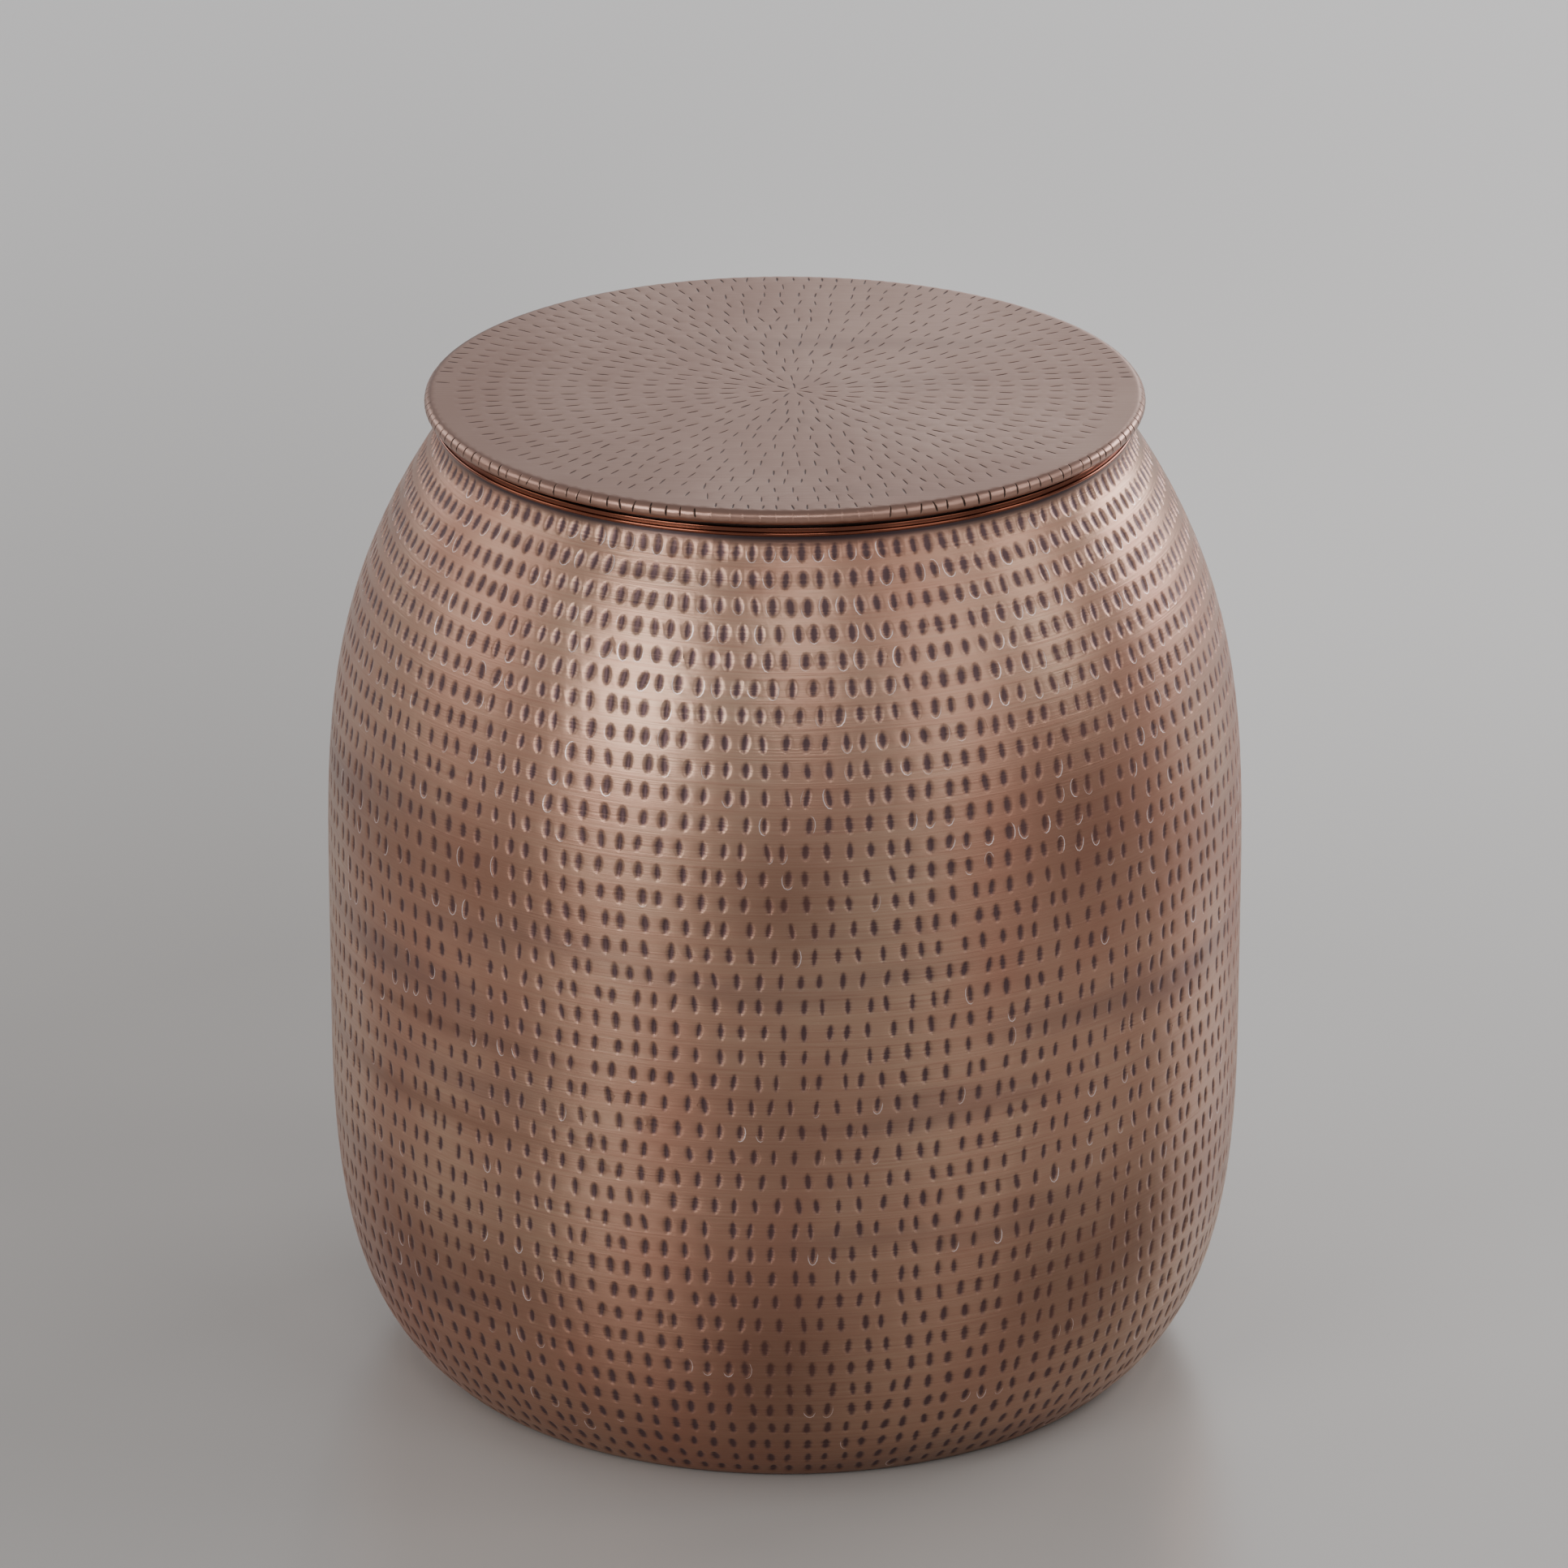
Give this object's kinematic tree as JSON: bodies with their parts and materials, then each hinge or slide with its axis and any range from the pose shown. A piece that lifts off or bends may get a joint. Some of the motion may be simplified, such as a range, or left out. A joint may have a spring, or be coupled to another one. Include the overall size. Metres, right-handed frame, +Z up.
{
  "type": "drum side table",
  "caption": "Barrel-shaped side table in hammered copper-finished sheet metal, with a flat round tray top that lifts off a hollow storage drum.",
  "frame": {"origin": "on the floor under the middle of the drum", "axes": "+Z up along the drum's axis of revolution; +X and +Y level, halfway between glides"},
  "size_m": [0.41, 0.41, 0.4513],
  "materials": {
    "hammered_copper": "satin",
    "tray_copper": "matte",
    "polished_copper": "polished",
    "raw_steel": "satin",
    "zinc_steel": "satin",
    "fibreboard": "matte",
    "glide_plastic": "matte",
    "pad_rubber": "matte"
  },
  "bodies": {
    "drum": {"lower_shell": "hammered_copper", "upper_shell": "hammered_copper", "seam_band": "raw_steel", "neck_collar": "polished_copper", "base_plate": "raw_steel", "glide_1": "glide_plastic", "glide_2": "glide_plastic", "glide_3": "glide_plastic", "glide_4": "glide_plastic", "glide_screw_1": "zinc_steel", "glide_screw_2": "zinc_steel", "glide_screw_3": "zinc_steel", "glide_screw_4": "zinc_steel", "glide_nut_1": "zinc_steel", "glide_nut_2": "zinc_steel", "glide_nut_3": "zinc_steel", "glide_nut_4": "zinc_steel"},
    "tray": {"tray_top": "tray_copper", "tray_rim_wire": "raw_steel", "tray_board": "fibreboard", "locating_ring": "raw_steel", "ring_screw_1": "zinc_steel", "ring_screw_2": "zinc_steel", "ring_screw_3": "zinc_steel", "ring_screw_4": "zinc_steel", "rest_pad_1": "pad_rubber", "rest_pad_2": "pad_rubber", "rest_pad_3": "pad_rubber", "rest_pad_4": "pad_rubber"}
  },
  "joints": [
    {"name": "tray_lift", "type": "slide", "parent": "drum", "child": "tray", "axis": [0, 0, 1], "range_m": [0, 0.25]}
  ]
}
